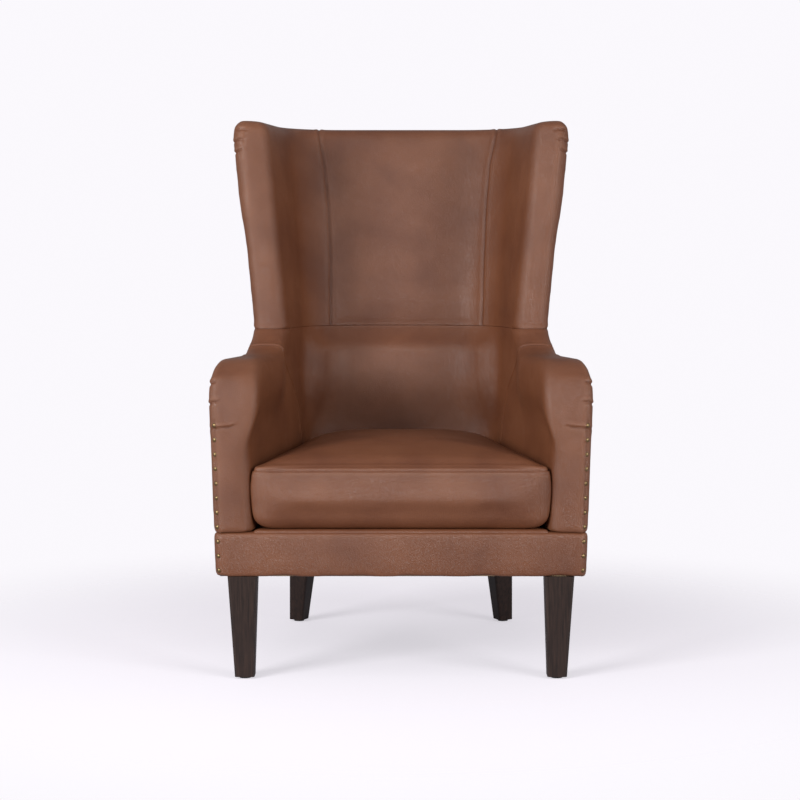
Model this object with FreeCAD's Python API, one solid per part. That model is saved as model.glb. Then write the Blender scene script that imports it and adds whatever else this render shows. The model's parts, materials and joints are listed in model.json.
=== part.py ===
import FreeCAD, Part
import math
import os

os.makedirs("parts", exist_ok=True)

V = FreeCAD.Vector

# Heights above the floor, in millimetres
leg_height = 200.0          # underside of the seat frame
rail_height = 70.0          # seat rails, standing on the legs
border_height = 85.0        # leather border across the front
arm_height = 616.0          # level top of the arms
waist_height = 665.0        # seam between the arms and the wings
overall_height = 1098.0     # top of the back and wings
seam_bend_height = 440.0    # where the arm seam turns down behind the cushion

# Plan, measured back from the front face and out from the middle
base_half_width = 358.5     # outside of the seat at the front, at the frame's underside
waist_half_width = 374.0    # the same line at the waist
crown_half_width = 426.0    # the same line at the top, carried forward to the front face
toe_in = 0.185              # how far each side closes in per millimetre towards the back
seat_depth = 495.0          # front face to the inside back, at the deck
recline = 0.20              # how far the inside back leans per millimetre of height
back_thickness = 80.0
base_back = 620.0           # outside of the back at the frame's underside
side_thickness = 72.0
outer_corner = 140.0        # rear corners, outside
inner_corner = 52.0         # rear corners, inside
corner_land = 8.0           # straight stretch kept before a rear corner
wing_front = 340.0          # front edge of a wing at the waist
wing_rake = 0.105           # how far the wing's edge leans back per millimetre of height

# Upholstery
gap = 0.3                   # clearance between neighbours
facet_below = 32.0          # rounds under this radius are made of facets
facets = 4                  # facets in such a round
leather = 2.0
panel = 2.2                 # outside panels, leather on card
edge_round = 22.0           # rolled front edges and top
arm_round = 28.0            # top edges of an arm
swept_round = 5.0           # the same edges where the arm meets the wing
front_tighten = 0.3         # how fast those edges tighten round the rolled front
arm_nose = 90.0             # rounding from the front of an arm to its top
arm_roll = 18.0             # how far the top of an arm swells over the seat
roll_least = 1.0            # swell left where the arm meets the wing
roll_drop = 62.0            # height of that swell
roll_blend = 48.0           # height in which it fades into the arm's side
arm_level_end = 210.0       # where the arm's top starts to sweep up
return_width = 30.0         # cover turned round an edge onto the outside
seam_back = 425.0           # arm seam behind the cushion
wing_foot = 283.0           # outside this half width an arm runs on under the wing

roll_steps = (0.0, 30.0, 60.0, 90.0)

# Timber and webbing
timber = 24.0
post_width = 50.0
board_width = 42.0
strap = 2.0
strap_width = 50.0
rail_pad = 8.0

# Seat
deck_pad_height = 13.4
deck_leather = 1.5
cushion_height = 116.0      # underside to the seam under the crown
cushion_crown = 36.0
cushion_corner = 40.0
cushion_rear_corner = 80.0
cushion_pull = 4.0          # how far each side draws in between its corners
cushion_front = 5.0
side_clearance = 1.5
zip_corner_spare = 3.2      # zip's ends to the start of the rear corners
zip_width = 26.0
zip_tape = 1.4
slider_length = 12.0
slider_width = 9.0
slider_depth = 5.0
tab_length = 22.0
tab_depth = 1.6

# Legs
glide_height = 4.0
glide_radius = 11.0
bolt_radius = 4.0
bolt_length = 70.0
bolt_hole_clearance = 0.3
dust_cover_thickness = 1.2

# Worked out from the sizes above
toe_angle = math.atan(toe_in)
toe_cos = math.cos(toe_angle)
rail_top = leg_height + rail_height
border_top = leg_height + border_height
web_top = rail_top + gap + 2.0 * strap
deck_top = web_top + gap + deck_pad_height + gap + deck_leather
cushion_bottom = deck_top + gap
welt_height = cushion_bottom + cushion_height
frame_top = overall_height - return_width - 3.0
panel_depth = panel + gap
frame_depth = panel_depth + timber
web_depth = frame_depth + gap + strap
foam_depth = web_depth + gap
depth = seat_depth + recline * (overall_height - deck_top) + back_thickness
beyond = 1.4 * crown_half_width     # further out than any piece


def save(name, shapes):
    """Writes one node, moved so that the origin is under the middle of the chair."""
    if not isinstance(shapes, list):
        shapes = [shapes]
    solids = []
    for shape in shapes:
        solids.extend(shape.Solids)
    out = solids[0] if len(solids) == 1 else Part.Compound(solids)
    out = out.copy()
    out.translate(V(0, -depth / 2.0, 0))
    out.exportStep("parts/%s.step" % name)


def save_pair(name, right):
    """Writes a piece of the right side and its mirror image on the left."""
    save(name + "_right", right)
    save(name + "_left", right.mirror(V(0, 0, 0), V(1, 0, 0)))


def rounded(corners, place):
    """Closed wire through corners (a, b, radius); place makes a point 3-D.

    A large radius is an arc, a small one a few straight facets of it.
    """
    starts = []
    for i, (a, b, r) in enumerate(corners):
        pa, pb, _ = corners[i - 1]
        na, nb, _ = corners[(i + 1) % len(corners)]
        ua, ub = pa - a, pb - b
        va, vb = na - a, nb - b
        ul, vl = math.hypot(ua, ub), math.hypot(va, vb)
        ua, ub, va, vb = ua / ul, ub / ul, va / vl, vb / vl
        inside = math.acos(max(-1.0, min(1.0, ua * va + ub * vb)))
        if r <= 0:
            starts.append(((a, b), None, (a, b)))
            continue
        reach = r / math.tan(inside / 2.0)
        to_centre = r / math.sin(inside / 2.0)
        ma, mb = ua + va, ub + vb
        ml = math.hypot(ma, mb)
        middle = to_centre - r
        starts.append((
            (a + ua * reach, b + ub * reach),
            (a + ma / ml * middle, b + mb / ml * middle),
            (a + va * reach, b + vb * reach),
        ))
    edges = []
    for i, (first, middle, last) in enumerate(starts):
        if middle is not None:
            arc = Part.Arc(place(*first), place(*middle), place(*last)).toShape()
            if corners[i][2] < facet_below:
                points = arc.discretize(facets + 1)
                edges.extend(Part.LineSegment(a, b).toShape() for a, b in zip(points, points[1:]))
            else:
                edges.append(arc)
        following = starts[(i + 1) % len(starts)][0]
        edges.append(Part.LineSegment(place(*last), place(*following)).toShape())
    return Part.Wire(edges)


def level(z):
    """Puts plan points at one height."""
    return lambda x, y: V(x, y, z)


def upright(y):
    """Puts points of a front view at one distance from the front."""
    return lambda x, z: V(x, y, z)


def walls(wires):
    """Faces from ring to ring: true planes between straight edges, ruled faces between arcs."""
    faces = []
    for lower, upper in zip(wires, wires[1:]):
        for a, b in zip(lower.OrderedEdges, upper.OrderedEdges):
            corners = [a.firstVertex(True).Point, a.lastVertex(True).Point,
                       b.lastVertex(True).Point, b.firstVertex(True).Point]
            across = (corners[2] - corners[0]).cross(corners[1] - corners[0])
            twist = abs(across.dot(corners[3] - corners[0])) / max(across.Length, 1e-9)
            if "Line" in a.Curve.TypeId and twist < 1e-4:
                faces.append(Part.Face(Part.makePolygon(corners + corners[:1])))
            else:
                faces.append(Part.makeRuledSurface(a, b))
    return faces


def closed(faces):
    """Solid from faces that meet edge to edge."""
    shell = Part.makeShell(faces)
    shell.sewShape()
    solid = Part.Solid(Part.Shell(shell.Faces))
    if solid.Volume < 0:
        solid.reverse()
    return solid


def ruled(wires):
    """Solid through rings with the same number of corners."""
    return closed(walls(wires) + [Part.Face(wires[0]), Part.Face(wires[-1])])


def side_prism(points, x_low=0.0, x_high=beyond):
    """Solid of a side view outline (y, z), from x_low out to x_high."""
    wire = Part.makePolygon([V(x_low, y, z) for y, z in points + points[:1]])
    return Part.Face(wire).extrude(V(x_high - x_low, 0, 0))


def plan_prism(corners, z_low, z_high):
    """Solid of a plan outline with rounded corners."""
    return Part.Face(rounded(corners, level(z_low))).extrude(V(0, 0, z_high - z_low))


def block(x0, x1, y0, y1, z0, z1):
    return Part.makeBox(x1 - x0, y1 - y0, z1 - z0, V(x0, y0, z0))


# The chair's outside and inside faces, as plan lines that change with height

def half_width(z):
    """Outside of a side where its line crosses the front face."""
    if z <= waist_height:
        share = (z - leg_height) / (waist_height - leg_height)
        return base_half_width + share * (waist_half_width - base_half_width)
    share = (z - waist_height) / (overall_height - waist_height)
    return waist_half_width + share * (crown_half_width - waist_half_width)


def inside_back(z):
    return seat_depth + recline * (z - deck_top)


def outside_back(z):
    if z >= waist_height:
        return inside_back(z) + back_thickness
    waist_back = inside_back(waist_height) + back_thickness
    share = (z - leg_height) / (waist_height - leg_height)
    return base_back + share * (waist_back - base_back)


def wing_edge(z):
    return wing_front + wing_rake * (z - waist_height)


def outer(z, inset):
    return half_width(z) - inset / toe_cos, outside_back(z) - inset, outer_corner - inset


def inner(z, inset):
    half = half_width(z) - (side_thickness - inset) / toe_cos
    return half, inside_back(z) + inset, inner_corner + inset


def corner_start(z):
    """Line near the end of a side's straight face, where side panels and posts meet the back's."""
    turn = math.pi / 2.0 - toe_angle
    return outside_back(z) - outer_corner * math.tan(turn / 2.0) * toe_cos - corner_land


def inner_corner_end(z):
    """Half width of the flat inside back, from corner to corner."""
    half, back, radius = inner(z, 0.0)
    turn = math.pi / 2.0 - toe_angle
    return half - toe_in * back - radius * math.tan(turn / 2.0)


def horseshoe(z, outside, inside, front, end_round=0.0):
    """Plan of the wall round the seat: outside line, front ends, inside line."""
    corners = []
    for sign in (1, -1):
        half, back, radius = outside
        ends = [(sign * (half - toe_in * front), front, end_round),
                (sign * (half - toe_in * back), back, radius)]
        corners.extend(ends if sign > 0 else ends[::-1])
    for sign in (-1, 1):
        half, back, radius = inside
        ends = [(sign * (half - toe_in * front), front, end_round),
                (sign * (half - toe_in * back), back, radius)]
        corners.extend(ends if sign < 0 else ends[::-1])
    return rounded(corners, level(z))


def layer(z_low, z_high, near, far, front, lean=0.0):
    """Part of the wall between two depths under its outside face."""
    heights = [z_low] + [z for z in [waist_height] if z_low < z < z_high] + [z_high]
    wires = []
    for z in heights:
        wires.append(horseshoe(z, outer(z, near), outer(z, far), front + lean * (z - z_low)))
    return ruled(wires)


def across(z_low, z_high, near, far, start):
    """Piece round the back from side to side, between two depths under the outside face."""
    heights = [z_low] + [z for z in [waist_height] if z_low < z < z_high] + [z_high]
    return ruled([horseshoe(z, outer(z, near), outer(z, far), start(z) + gap) for z in heights])


# Back and wings

def hooked(z, inset, depth_in, lean_front):
    """Plan of a pad that lines the inside and turns round the wings' front edges.

    Its face is the wall's, moved in by the inset. Its rear lies depth_in under the outside face.
    """
    radius = edge_round - inset
    half, _, _ = outer(z, inset)
    face_half, face_back, face_radius = inner(z, inset)
    front = wing_edge(z) + inset
    tail = lean_front
    rear_half, rear_back, rear_radius = outer(z, depth_in)
    right = [(half - toe_in * tail, tail, 0),
             (half - toe_in * front, front, radius),
             (face_half - toe_in * front, front, radius),
             (face_half - toe_in * face_back, face_back, face_radius)]
    left = [(-x, y, r) for x, y, r in right[::-1]]
    rear = [(rear_half - toe_in * tail, tail, 0),
            (rear_half - toe_in * rear_back, rear_back, rear_radius)]
    return rounded(right + left + [(-x, y, r) for x, y, r in rear] + rear[::-1], level(z))


def lining(z):
    """Plan of the leather that lines the inside and turns round the wings' front edges."""
    def face(inset):
        radius = edge_round - inset
        half, _, _ = outer(z, inset)
        face_half, face_back, face_radius = inner(z, inset)
        front = wing_edge(z) + inset
        tail = wing_edge(z) + return_width
        return [(half - toe_in * tail, tail, 0),
                (half - toe_in * front, front, radius),
                (face_half - toe_in * front, front, radius),
                (face_half - toe_in * face_back, face_back, face_radius)]

    outside, inside = face(0.0), face(leather)
    corners = outside + [(-x, y, r) for x, y, r in outside[::-1]]
    corners += [(-x, y, r) for x, y, r in inside] + inside[::-1]
    return rounded(corners, level(z))


def cap_rings(inset):
    """Rings of the rolled top, from the head of the frame up."""
    radius = edge_round - inset
    shoulder = overall_height - edge_round
    rings = [(frame_top + gap, 0.0)]
    for angle in roll_steps:
        turn = math.radians(angle)
        rings.append((shoulder + radius * math.sin(turn), radius * (1.0 - math.cos(turn))))
    return [horseshoe(z, outer(z, inset + extra), inner(z, inset + extra),
                      wing_edge(z) + inset + extra, max(radius - extra, 1.0))
            for z, extra in rings]


def middle_zone(spare):
    """Everything between the two seams of the back, each moved in by the spare."""
    low, high = waist_height, overall_height
    a = inner_corner_end(low) - 1.0 - spare
    b = inner_corner_end(high) - 1.0 - spare
    widening = (b - a) / (high - low) * rail_height
    points = [V(-a + widening, 0, low - rail_height), V(a - widening, 0, low - rail_height),
              V(b + widening, 0, high + rail_height), V(-b - widening, 0, high + rail_height)]
    zone = Part.Face(Part.makePolygon(points + points[:1])).extrude(V(0, 2.0 * depth, 0))
    zone.translate(V(0, inside_back(low) - edge_round, 0))
    return zone


def back_and_wings():
    low, head = waist_height + gap, frame_top + gap
    sheet = ruled([lining(low), lining(head)])
    cap = ruled(cap_rings(0.0)).cut(ruled(cap_rings(leather)))
    skin = sheet.fuse(cap)
    save("inside_back_cover", skin.common(middle_zone(gap / 2.0)))
    wings = skin.cut(middle_zone(-gap / 2.0))
    for solid in wings.Solids:
        side = "right" if solid.CenterOfMass.x > 0 else "left"
        save("inside_wing_cover_" + side, solid)
    inset = leather + gap
    pad = ruled([hooked(z, inset, foam_depth, wing_edge(z) + return_width) for z in (low, head)])
    save("back_foam", pad.fuse(ruled(cap_rings(inset))))


# Arms

def arm_top(y):
    """Side view of an arm's top: nose, level stretch and sweep up to the waist."""
    if y < arm_nose:
        drop = arm_nose - y
        return arm_height - arm_nose + math.sqrt(arm_nose ** 2 - drop ** 2)
    if y <= arm_level_end:
        return arm_height
    rise = waist_height - arm_height
    run = wing_front - 8.0 - arm_level_end
    radius = (run ** 2 + rise ** 2) / (2.0 * rise)
    along = min(y - arm_level_end, run)
    return arm_height + radius - math.sqrt(radius ** 2 - along ** 2)


def arm_section(y, inset, edge, top, z_low):
    """Front view of an arm at one distance back: swollen top, neck and side."""
    settled = min(1.0, max(0.0, (y - arm_level_end) / (wing_front - arm_level_end)))
    swell = arm_roll * (1.0 - settled) + roll_least
    round_now = arm_round * (1.0 - settled) + swept_round * settled - inset - front_tighten * edge
    cut = inset + edge
    z_top = top - cut
    z_roll = top - roll_drop
    z_neck = z_roll - roll_blend

    def out(z):
        return half_width(z) - toe_in * y - cut / toe_cos

    def inn(z, more=0.0):
        return half_width(z) - toe_in * y - (side_thickness + more - cut) / toe_cos

    return rounded([
        (out(z_low), z_low, 0),
        (out(z_top), z_top, round_now),
        (inn(z_top, swell), z_top, round_now),
        (inn(z_roll, swell), z_roll, 0),
        (inn(z_neck), z_neck, 0),
        (inn(z_low), z_low, 0),
    ], upright(y))


def arm(inset, rear, z_low=border_top + gap):
    """Right arm with all faces moved in by the inset, its front edge rolled."""
    radius = edge_round - inset
    wires = []
    for a in (90.0, 60.0, 30.0, 0.0):
        y = edge_round - radius * math.sin(math.radians(a))
        edge = radius * (1 - math.cos(math.radians(a)))
        wires.append(arm_section(y, inset, edge, arm_top(y), z_low))
    sweep = wing_front - 8.0 - arm_level_end
    for y in (arm_nose * 0.6, arm_nose, arm_level_end, arm_level_end + sweep * 0.4,
              arm_level_end + sweep * 0.75, arm_level_end + sweep, rear):
        wires.append(arm_section(y, inset, 0.0, arm_top(y), z_low))
    return ruled(wires)


def behind_seam(spare, x_low=-beyond, x_high=beyond):
    """Everything behind the seam between an arm and the lower back."""
    return side_prism([
        (seam_back + spare, leg_height - side_thickness),
        (seam_back + spare, seam_bend_height),
        (wing_front + spare, waist_height),
        (wing_front + spare, waist_height + side_thickness),
        (depth + side_thickness, waist_height + side_thickness),
        (depth + side_thickness, leg_height - side_thickness),
    ], x_low, x_high)


def arm_line(drop):
    """Points under an arm's top, from the nose to the sweep."""
    stations = (return_width, arm_nose * 0.6, arm_nose, arm_level_end,
                (arm_level_end + wing_front) / 2.0)
    return [(y, arm_top(y) - drop) for y in stations]


def outside_outline(spare):
    """Side view of an outside panel: up the front, under the arm, up the wing, down the corner."""
    edge = return_width - spare
    points = [(edge, leg_height - spare)]
    points += [(y if i else edge, z + spare) for i, (y, z) in enumerate(arm_line(44.0))]
    points += [(wing_edge(waist_height) + edge, waist_height - 36.0 + spare),
               (wing_edge(frame_top) + edge, frame_top + spare),
               (corner_start(frame_top) + spare, frame_top + spare),
               (corner_start(waist_height) + spare, waist_height),
               (corner_start(leg_height) + spare, leg_height - spare)]
    return points


def arms():
    rear = seam_back + edge_round
    skin = arm(0.0, rear).cut(arm(leather, rear + leather, border_top - leather))
    skin = skin.cut(layer(leg_height, overall_height, -1.0, panel_depth, 0.0).common(
        side_prism(outside_outline(gap))))
    skin = skin.cut(behind_seam(-gap / 2.0, 0.0, wing_foot))
    skin = skin.cut(block(wing_foot, beyond, wing_front + return_width, depth, 0.0, overall_height))
    save_pair("arm_cover", largest(skin))
    hollow = layer(leg_height, waist_height + 5.0, -1.0, foam_depth, 0.0)
    opening = arm_line(return_width)
    opening = [(return_width, leg_height)] + opening + [
        (wing_edge(waist_height) + return_width - 8.0, waist_height - 30.0),
        (wing_edge(waist_height) + return_width - 8.0, waist_height + 5.0),
        (seam_back + 60.0, waist_height + 5.0),
        (seam_back + 60.0, leg_height),
    ]
    foam = arm(leather + gap, rear).cut(hollow.common(side_prism(opening)))
    foam = foam.cut(behind_seam(-gap / 2.0, 0.0, wing_foot))
    save_pair("arm_foam", largest(foam))


def largest(shape):
    return max(shape.Solids, key=lambda solid: solid.Volume)


# Lower back

def lower_back():
    low, high = border_top + gap, waist_height - gap
    start = wing_front - 10.0
    cover = ruled([horseshoe(z, inner(z, leather), inner(z, 0.0), start) for z in (low, high)])
    save("lumbar_cover", cover.common(behind_seam(gap / 2.0)))
    foam = ruled([
        horseshoe(z, outer(z, foam_depth), inner(z, leather + gap), start) for z in (low, high)
    ])
    save("lumbar_foam", foam.common(behind_seam(gap / 2.0)))


# Outside panels

def outside_panels():
    skin = layer(leg_height, frame_top, 0.0, panel, 0.0)
    save_pair("outside_side", skin.common(side_prism(outside_outline(0.0))))
    save("outside_back", across(leg_height, frame_top, 0.0, panel, corner_start))


def front_border():
    """Leather across the front of the seat, turned round both front corners."""
    def plan(z, inset):
        half = half_width(z) - inset / toe_cos
        return [(half - toe_in * inset, inset, edge_round - inset),
                (half - toe_in * return_width, return_width - gap, 0)]

    wires = []
    for z in (leg_height, border_top):
        outside, inside = plan(z, 0.0), plan(z, leather)
        corners = outside + inside[::-1]
        corners += [(-x, y, r) for x, y, r in inside]
        corners += [(-x, y, r) for x, y, r in outside[::-1]]
        wires.append(rounded(corners, level(z)))
    save("front_border", ruled(wires))


# Timber frame

def post_front(z):
    return corner_start(z) - post_width


def timber_frame():
    frame = layer(leg_height, frame_top, panel_depth, frame_depth, 0.0)
    front = leather + gap + rail_pad + gap
    right = block(0.0, beyond, -timber, depth + timber, 0.0, overall_height)
    frame_right = frame.common(right)

    def cut(points):
        return largest(frame_right.common(side_prism(points)))

    low, mid, top = leg_height, waist_height, frame_top
    side_front = edge_round + 4.0
    save_pair("side_rail", cut([
        (side_front, low), (post_front(low) - gap, low),
        (post_front(rail_top) - gap, rail_top), (side_front, rail_top)]))
    post_face = return_width + gap
    head = arm_top(post_face) - return_width - gap
    save_pair("front_post", cut([
        (post_face, rail_top + gap), (post_face, head),
        (post_face + post_width, head), (post_face + post_width, rail_top + gap)]))
    rail_head = arm_top(arm_nose) - return_width - gap
    rail_foot = rail_head - board_width
    save_pair("arm_rail", cut([
        (post_face + post_width + gap, rail_foot),
        (post_face + post_width + gap, rail_head - 4.0),
        (arm_nose + 5.0, rail_head),
        (post_front(rail_head) - gap, rail_head),
        (post_front(rail_foot) - gap, rail_foot)]))
    save_pair("back_post", cut([
        (post_front(low), low), (post_front(mid), mid), (post_front(top), top),
        (corner_start(top), top), (corner_start(mid), mid), (corner_start(low), low)]))
    foot = rail_head + gap
    lean = return_width + gap
    save_pair("wing_post", cut([
        (wing_edge(foot) + lean, foot), (wing_edge(top) + lean, top),
        (wing_edge(top) + lean + board_width, top),
        (wing_edge(foot) + lean + board_width, foot)]))
    save_pair("wing_rail", cut([
        (wing_edge(top) + lean + board_width + gap, top),
        (post_front(top) - gap, top),
        (post_front(top - board_width) - gap, top - board_width),
        (wing_edge(top - board_width) + lean + board_width + gap, top - board_width)]))

    for name, z_low, z_high in (
            ("back_rail", leg_height, rail_top),
            ("lumbar_rail", waist_height - board_width / 2.0, waist_height + board_width / 2.0),
            ("crest_rail", frame_top - board_width - 10.0, frame_top)):
        save(name, across(z_low, z_high, panel_depth, frame_depth, corner_start))
    half = half_width(leg_height) - frame_depth / toe_cos - toe_in * (front + timber) - gap
    save("front_rail", block(-half, half, front, front + timber, leg_height, rail_top))
    pad_half = half_width(leg_height) - edge_round - 4.0
    save("rail_pad", block(-pad_half, pad_half, leather + gap, front - gap,
                           leg_height + 2.0, border_top - 2.0))


# Legs and their fixings

def leg_plan(x0, x1, y0, y1):
    return [(x0, y0, 5.0), (x1, y0, 5.0), (x1, y1, 5.0), (x0, y1, 5.0)]


leg_outside = base_half_width - 24.5
rear_side = base_half_width - toe_in * base_back
front_leg_top = (leg_outside - 57.0, leg_outside, 3.0, 57.0)
front_leg_foot = (leg_outside - 51.0, leg_outside - 13.0, 4.0, 42.0)
front_bolt = (leg_outside - 32.0, 47.0)
rear_leg_top = (rear_side - 32.0, base_back - 75.0)
rear_leg_foot = (rear_side - 15.0, base_back)
rear_bolt = (rear_side - 39.0, base_back - 82.0)
rear_leg_turn = math.radians(27.0)
rear_leg_top_size = (54.0, 46.0)
rear_leg_foot_size = (34.0, 32.0)


def turned_square(centre, size):
    """Plan of a rear leg, turned to face the corner."""
    c, s = math.cos(rear_leg_turn), math.sin(rear_leg_turn)
    a, b = size[0] / 2.0, size[1] / 2.0
    return [(centre[0] + c * x - s * y, centre[1] + s * x + c * y, 5.0)
            for x, y in ((-a, -b), (a, -b), (a, b), (-a, b))]


def bolt_at(x, y, spare=0.0):
    return Part.makeCylinder(bolt_radius + spare, bolt_length + 2.0 * spare,
                             V(x, y, leg_height - bolt_length / 2.0 - spare))


def legs():
    hole = bolt_hole_clearance
    front = ruled([rounded(leg_plan(*front_leg_foot), level(glide_height)),
                   rounded(leg_plan(*front_leg_top), level(leg_height))])
    save_pair("front_leg", front.cut(bolt_at(*front_bolt, hole)))
    rear = ruled([
        rounded(turned_square(rear_leg_foot, rear_leg_foot_size), level(glide_height)),
        rounded(turned_square(rear_leg_top, rear_leg_top_size), level(leg_height))])
    save_pair("rear_leg", rear.cut(bolt_at(*rear_bolt, hole)))
    feet = [((front_leg_foot[0] + front_leg_foot[1]) / 2.0,
             (front_leg_foot[2] + front_leg_foot[3]) / 2.0), rear_leg_foot]
    glides = []
    bolts = []
    for sign in (1, -1):
        for x, y in feet:
            glides.append(Part.makeCylinder(glide_radius, glide_height, V(sign * x, y, 0)))
        for x, y in (front_bolt, rear_bolt):
            bolts.append(bolt_at(sign * x, y))
    save("glides", glides)
    save("hanger_bolts", bolts)
    corner_blocks(front_bolt, rear_bolt)


def corner_blocks(front_bolt, rear_bolt):
    """Glue blocks across the four inside corners of the seat frame."""
    front = leather + gap + rail_pad + gap + timber + gap
    height = rail_height - 12.0
    inside = half_width(leg_height) - (frame_depth + gap) / toe_cos
    reach = 95.0
    at = plan_prism([
        (inside - toe_in * front, front, 0),
        (inside - toe_in * (front + reach), front + reach, 0),
        (inside - reach, front, 0)], leg_height, leg_height + height)
    front_block = at.cut(bolt_at(*front_bolt, bolt_hole_clearance))
    half, back, radius = outer(leg_height, frame_depth + gap)
    turn = math.pi / 2.0 - toe_angle
    centre_x = half - toe_in * back - radius * math.tan(turn / 2.0)
    centre_y = back - radius
    rear_side = back - radius * math.tan(turn / 2.0) * toe_cos
    middle = toe_angle + turn / 2.0
    rear_block = plan_prism([
        (half - toe_in * (rear_side - 50.0), rear_side - 50.0, 0),
        (half - toe_in * rear_side, rear_side, 0),
        (centre_x + radius * math.cos(middle), centre_y + radius * math.sin(middle), 0),
        (centre_x, back, 0),
        (centre_x - 50.0, back, 0)], leg_height, leg_height + height)
    rear_block = rear_block.cut(bolt_at(*rear_bolt, bolt_hole_clearance))
    blocks = []
    for piece in (front_block, rear_block):
        blocks.append(piece)
        blocks.append(piece.mirror(V(0, 0, 0), V(1, 0, 0)))
    save("corner_blocks", blocks)


# Deck and webbing

def seat_plan(z, spare, front, corner=0.0):
    """Plan of the space between the arms and the back."""
    half, back, radius = inner(z, 0.0)
    half -= spare / toe_cos
    back -= spare
    return [(half - toe_in * front, front, corner), (half - toe_in * back, back, radius),
            (-half + toe_in * back, back, radius), (-half + toe_in * front, front, corner)]


def deck():
    front = leather + gap
    pad_low = web_top + gap
    pad_high = pad_low + deck_pad_height
    save("deck_pad", plan_prism(seat_plan(pad_low, gap, front + rail_pad), pad_low, pad_high))
    save("deck_cover", plan_prism(seat_plan(pad_low, gap, front), pad_high + gap, deck_top))
    long_low = rail_top + gap
    pitch = strap_width * 1.84
    first_y = leather + gap + rail_pad + gap + 4.0
    half, back, radius = outer(rail_top, panel_depth + 8.0)
    limit = plan_prism([(half, 0.0, 0), (half - toe_in * back, back, radius),
                        (-half + toe_in * back, back, radius), (-half, 0.0, 0)],
                       rail_top, rail_top + 10.0)
    straps = []
    for i in range(-2, 3):
        x = i * pitch
        strip = block(x - strap_width / 2.0, x + strap_width / 2.0, first_y, back + 5.0,
                      long_low, long_low + strap)
        straps.append(strip.common(limit))
    save("seat_webbing_long", straps)
    straps = []
    span = base_back - frame_depth - first_y
    for i in range(4):
        y = first_y + span * (0.17 + 0.165 * i)
        half = half_width(rail_top) - toe_in * (y + strap_width) - frame_depth / toe_cos + 12.0
        straps.append(block(-half, half, y - strap_width / 2.0, y + strap_width / 2.0,
                            long_low + strap, long_low + 2.0 * strap))
    save("seat_webbing_cross", straps)
    bands = []
    back_span = frame_top - waist_height - board_width
    for i in range(3):
        z = waist_height + back_span * (0.26 + 0.27 * i)
        bands.append(across(z - strap_width / 2.0, z + strap_width / 2.0,
                            frame_depth + gap, web_depth, post_front))
    save("back_webbing", bands)


# Loose seat cushion

cushion_levels = ((0.0, 0.90), (0.06, 0.97), (0.22, 1.0), (1.0, 1.0))
crown_scales = (0.90, 0.70, 0.45)


def cushion_plan(scale, shrink):
    """Cushion outline: the seat's plan, drawn in between its corners."""
    half, _, _ = inner(cushion_bottom + 0.2 * cushion_height, 0.0)
    half -= (side_clearance + shrink) / toe_cos
    back = inside_back(cushion_bottom) - side_clearance - shrink
    front = cushion_front + shrink
    middle = (front + back) / 2.0
    right = [(0.0, front + cushion_pull, 0),
             (half - toe_in * front, front, cushion_corner),
             (half - toe_in * middle - cushion_pull, middle, 0),
             (half - toe_in * back, back, cushion_rear_corner),
             (0.0, back, 0)]
    corners = right + [(-x, y, r) for x, y, r in right[-2:0:-1]]
    return [(x * scale, middle + (y - middle) * scale, r) for x, y, r in corners]


def pillow(shrink):
    """Cushion with a crowned top and rounded underside, moved in by the shrink."""
    wires = []
    low, high = cushion_bottom + shrink, welt_height
    for share, scale in cushion_levels:
        wires.append(rounded(cushion_plan(scale, shrink), level(low + share * (high - low))))
    for scale in crown_scales:
        z = high + (cushion_crown - shrink) * math.sqrt(1.0 - scale ** 2)
        wires.append(rounded(cushion_plan(scale, shrink), level(z)))
    return ruled(wires)


def cushion():
    save("cushion_core", pillow(leather + gap))
    save("cushion_cover", pillow(0.0).cut(pillow(leather)))
    rear = inside_back(cushion_bottom) - side_clearance + gap
    middle = cushion_bottom + cushion_height * 0.5
    half = inner_corner_end(middle) - zip_corner_spare
    save("zip_tape", block(-half, half, rear, rear + zip_tape,
                           middle - zip_width / 2.0, middle + zip_width / 2.0))
    save("zip_slider", zip_slider(half - slider_length, rear + zip_tape + gap, middle))


def zip_slider(x, y, z):
    """Slider at the closed end of the zip, its tab hanging."""
    body = ruled([
        rounded([(y, z - slider_width / 2.0, 0), (y + slider_depth, z - slider_width / 4.0, 0),
                 (y + slider_depth, z + slider_width / 4.0, 0), (y, z + slider_width / 2.0, 0)],
                lambda b, c: V(x, b, c)),
        rounded([(y, z - slider_width / 3.0, 0), (y + slider_depth, z - slider_width / 6.0, 0),
                 (y + slider_depth, z + slider_width / 6.0, 0), (y, z + slider_width / 3.0, 0)],
                lambda b, c: V(x + slider_length, b, c))])
    middle = x + slider_length / 2.0
    tab = block(middle - 2.5, middle + 2.5, y + slider_depth - tab_depth, y + slider_depth,
                z - tab_length, z)
    return body.fuse(tab)


def dust_cover():
    """Cloth under the seat, cut out round the legs."""
    low = leg_height - dust_cover_thickness
    half, back, radius = outer(leg_height, panel_depth + 4.0)
    front = leather + gap + rail_pad + 6.0
    sheet = plan_prism([
        (half - toe_in * front, front, 0), (half - toe_in * back, back, radius),
        (-half + toe_in * back, back, radius), (-half + toe_in * front, front, 0)],
        low, leg_height)
    x0, x1, y0, y1 = front_leg_top
    spare = 1.5
    w, d = rear_leg_top_size
    for plan in ([(x0 - spare, y0 - spare, 0), (x1 + spare, y0 - spare, 0),
                  (x1 + spare, y1 + spare, 0), (x0 - spare, y1 + spare, 0)],
                 [(x, y, 0) for x, y, _ in turned_square(
                     rear_leg_top, (w + 2.0 * spare, d + 2.0 * spare))]):
        hole = plan_prism(plan, low - 1.0, leg_height + 1.0)
        sheet = sheet.cut(hole).cut(hole.mirror(V(0, 0, 0), V(1, 0, 0)))
    save("dust_cover", largest(sheet))


back_and_wings()
arms()
lower_back()
outside_panels()
front_border()
timber_frame()
legs()
deck()
cushion()
dust_cover()
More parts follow.
